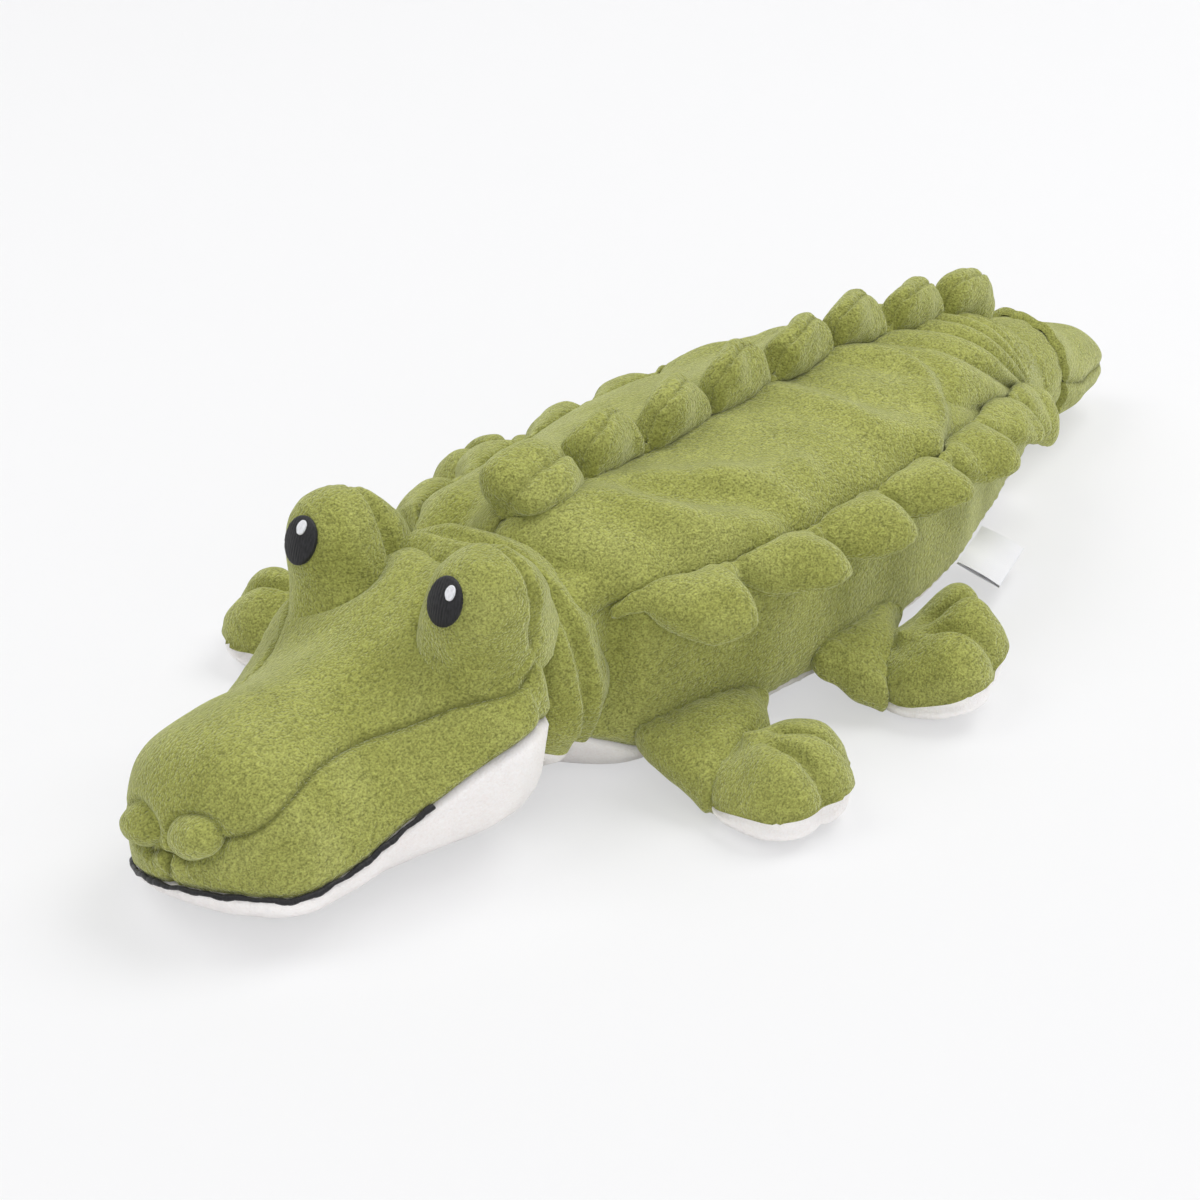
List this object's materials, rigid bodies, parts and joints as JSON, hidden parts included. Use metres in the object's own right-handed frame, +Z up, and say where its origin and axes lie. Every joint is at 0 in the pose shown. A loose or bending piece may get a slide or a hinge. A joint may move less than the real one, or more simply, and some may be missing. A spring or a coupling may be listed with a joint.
{
  "type": "plush crocodile",
  "caption": "Plush crocodile lying flat, with a stuffed head, feet and tail tip, a slack grain-filled body and rows of padded scutes.",
  "frame": {"origin": "middle of the footprint, on the floor that the crocodile lies on", "axes": "+Z up, the tail towards +Y, the nose towards -Y and the animal's left side towards +X"},
  "size_m": [0.174, 0.358, 0.0737],
  "materials": {
    "green_plush": "short olive-green plush pile",
    "cream_plush": "short cream plush pile",
    "black_thread": "satin embroidery thread",
    "white_thread": "satin embroidery thread",
    "white_tape": "smooth woven tape",
    "filling": "loose polyester wadding",
    "grain_cotton": "plain cotton pouch of grain"
  },
  "bodies": {
    "torso": {"back_panel_left": "green_plush", "back_panel_right": "green_plush", "flank_panel_left": "green_plush", "flank_panel_right": "green_plush", "belly_panel": "cream_plush", "grain_pouch": "grain_cotton", "spine_scutes": "green_plush", "left_scutes": "green_plush", "right_scutes": "green_plush"},
    "neck": {"neck_roll": "green_plush"},
    "head": {"head_top_panel": "green_plush", "cheek_panel_left": "green_plush", "cheek_panel_right": "green_plush", "chin_panel": "cream_plush", "head_stuffing": "filling", "eye_turret_left": "green_plush", "eye_turret_right": "green_plush", "eye_left": "black_thread", "eye_right": "black_thread", "eye_glint_left": "white_thread", "eye_glint_right": "white_thread", "nostril_left": "green_plush", "nostril_right": "green_plush", "mouth_stitch": "black_thread"},
    "tail_root": {"tail_gather": "green_plush"},
    "tail": {"tail_upper_panel": "green_plush", "tail_under_panel": "green_plush", "tail_stuffing": "filling"},
    "front_left_limb": {"front_left_leg": "green_plush"},
    "front_left_paw": {"front_left_foot": "green_plush", "front_left_sole": "cream_plush", "front_left_foot_stuffing": "filling"},
    "front_right_limb": {"front_right_leg": "green_plush"},
    "front_right_paw": {"front_right_foot": "green_plush", "front_right_sole": "cream_plush", "front_right_foot_stuffing": "filling"},
    "hind_left_limb": {"hind_left_leg": "green_plush"},
    "hind_left_paw": {"hind_left_foot": "green_plush", "hind_left_sole": "cream_plush", "hind_left_foot_stuffing": "filling"},
    "hind_right_limb": {"hind_right_leg": "green_plush"},
    "hind_right_paw": {"hind_right_foot": "green_plush", "hind_right_sole": "cream_plush", "hind_right_foot_stuffing": "filling"},
    "label": {"side_label": "white_tape"}
  },
  "joints": [
    {"name": "neck_turn", "type": "hinge", "parent": "torso", "child": "neck", "pos_m": [0.00776, -0.08548, 0.029], "axis": [0, 0, 1], "range_deg": [-18, 24]},
    {"name": "neck_nod", "type": "hinge", "parent": "neck", "child": "head", "pos_m": [0.00776, -0.08548, 0.029], "axis": [-0.9976, 0.0698, 0], "range_deg": [-8, 16]},
    {"name": "tail_swing", "type": "hinge", "parent": "torso", "child": "tail_root", "pos_m": [0.00776, 0.13752, 0.022], "axis": [0, 0, 1], "range_deg": [-25, 25]},
    {"name": "tail_lift", "type": "hinge", "parent": "tail_root", "child": "tail", "pos_m": [0.00776, 0.13752, 0.022], "axis": [1, 0, 0], "range_deg": [-5, 25]},
    {"name": "front_left_hip_lift", "type": "hinge", "parent": "torso", "child": "front_left_limb", "pos_m": [0.04796, -0.05299, 0.013], "axis": [-0.297, -0.9549, 0], "range_deg": [-10, 30]},
    {"name": "front_left_ankle_bend", "type": "hinge", "parent": "front_left_limb", "child": "front_left_paw", "pos_m": [0.0634, -0.05989, 0.009], "axis": [0.0523, -0.9986, 0], "range_deg": [-12, 18]},
    {"name": "front_right_hip_lift", "type": "hinge", "parent": "torso", "child": "front_right_limb", "pos_m": [-0.03244, -0.05299, 0.013], "axis": [-0.297, 0.9549, 0], "range_deg": [-10, 30]},
    {"name": "front_right_ankle_bend", "type": "hinge", "parent": "front_right_limb", "child": "front_right_paw", "pos_m": [-0.05327, -0.0668, 0.009], "axis": [0, 1, 0], "range_deg": [-12, 18]},
    {"name": "hind_left_hip_lift", "type": "hinge", "parent": "torso", "child": "hind_left_limb", "pos_m": [0.05402, 0.00053, 0.013], "axis": [0.006, -1, 0], "range_deg": [-10, 30]},
    {"name": "hind_left_ankle_bend", "type": "hinge", "parent": "hind_left_limb", "child": "hind_left_paw", "pos_m": [0.06351, 0.00159, 0.009], "axis": [0.4384, -0.8988, 0], "range_deg": [-12, 18]},
    {"name": "hind_right_hip_lift", "type": "hinge", "parent": "torso", "child": "hind_right_limb", "pos_m": [-0.0385, 0.00053, 0.013], "axis": [0.006, 1, 0], "range_deg": [-10, 30]},
    {"name": "hind_right_ankle_bend", "type": "hinge", "parent": "hind_right_limb", "child": "hind_right_paw", "pos_m": [-0.06389, 0.01868, 0.009], "axis": [0.2419, 0.9703, 0], "range_deg": [-12, 18]},
    {"name": "label_flap", "type": "hinge", "parent": "torso", "child": "label", "pos_m": [0.04345, 0.0646, 0.0105], "axis": [0.2851, -0.9585, 0], "range_deg": [-20, 65]}
  ]
}
